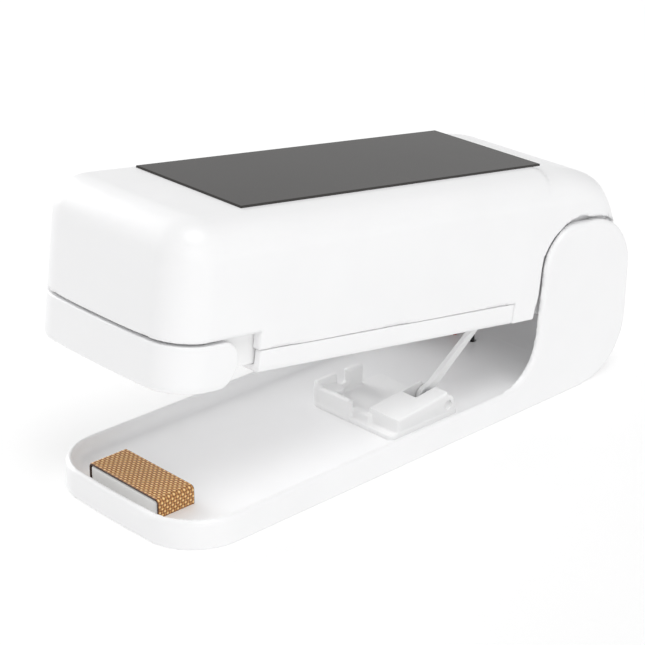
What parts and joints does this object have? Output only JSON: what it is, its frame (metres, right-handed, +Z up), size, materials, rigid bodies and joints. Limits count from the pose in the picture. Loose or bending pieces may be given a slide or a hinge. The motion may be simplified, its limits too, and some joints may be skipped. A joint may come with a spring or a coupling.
{
  "type": "hand-held heat sealer",
  "caption": "Hand-held heat sealer for bags, like a stapler: a white tray arm with a woven heating strip, and a sprung jaw with a dark top panel.",
  "frame": {"origin": "middle of the lower arm's flat underside", "axes": "+Z up; -Y towards the nose of the jaws, +Y towards the hinge; +X across the width"},
  "size_m": [0.042, 0.1186, 0.0592],
  "materials": {
    "white_shell": "satin moulded white",
    "white_inner": "matt moulded white",
    "dark_panel": "polished dark grey",
    "cloth": "coated woven glass cloth, gold brown",
    "insulator": "matt",
    "ribbon_metal": "rolled resistance alloy",
    "terminal_brass": "stamped",
    "pin_steel": "drawn",
    "screw_steel": "zinc plated",
    "spring_steel": "drawn wire",
    "contact_nickel": "nickel plated",
    "red_lead": "insulated wire",
    "black_lead": "insulated wire",
    "silicone": "soft",
    "cell_wrap": "printed sleeve, plain",
    "board_green": "solder mask",
    "switch_black": "moulded"
  },
  "bodies": {
    "base": {"base_arm": "white_shell", "base_plate": "white_inner", "base_screws": "screw_steel", "strip_core": "insulator", "heater_ribbon": "ribbon_metal", "cloth_strip": "cloth", "strip_terminals": "terminal_brass", "arm_bracket": "white_inner", "bracket_screws": "screw_steel", "arm_pin": "pin_steel", "arm_spring": "spring_steel", "hinge_pin": "pin_steel", "hinge_plug": "white_inner", "base_lead_red": "red_lead", "base_lead_black": "black_lead"},
    "jaw": {"upper_shell": "white_shell", "top_panel": "dark_panel", "battery_frame": "white_inner", "frame_screws": "screw_steel", "cell_left": "cell_wrap", "cell_right": "cell_wrap", "battery_springs": "spring_steel", "bridge_contact": "contact_nickel", "rear_contacts": "contact_nickel", "circuit_board": "board_green", "board_screws": "screw_steel", "tact_switch": "switch_black", "jaw_lead_red": "red_lead", "jaw_lead_black": "black_lead"},
    "head": {"press_head": "white_shell", "pressure_pad": "silicone"},
    "button": {"switch_button": "switch_black"},
    "cover": {"battery_cover": "white_shell"},
    "arm": {"opener_arm": "white_inner"}
  },
  "joints": [
    {"name": "jaw_hinge", "type": "hinge", "parent": "base", "child": "jaw", "pos_m": [0, 0.0435, 0.021], "axis": [1, 0, 0], "range_deg": [0, 13], "stiffness_Nm_per_rad": 0.35, "springref_deg": -40.11},
    {"name": "head_pivot", "type": "hinge", "parent": "jaw", "child": "head", "pos_m": [0, -0.04916, 0.03424], "axis": [-1, 0, 0], "range_deg": [0, 2.5], "stiffness_Nm_per_rad": 0.12, "springref_deg": -5.73},
    {"name": "switch_travel", "type": "slide", "parent": "jaw", "child": "button", "axis": [0, 0.1414, 0.9899], "range_m": [0, 0.0003]},
    {"name": "cover_slide", "type": "slide", "parent": "jaw", "child": "cover", "axis": [0, -0.9869, 0.1611], "range_m": [0, 0.0036]},
    {"name": "arm_pivot", "type": "hinge", "parent": "base", "child": "arm", "pos_m": [0, 0.0097, 0.0057], "axis": [1, 0, 0], "range_deg": [-12, 0]}
  ],
  "couplings": [
    {"joint": "arm_pivot", "follows": "jaw_hinge", "ratio": -0.76},
    {"joint": "switch_travel", "follows": "head_pivot", "m_per_rad": 0.0039}
  ]
}
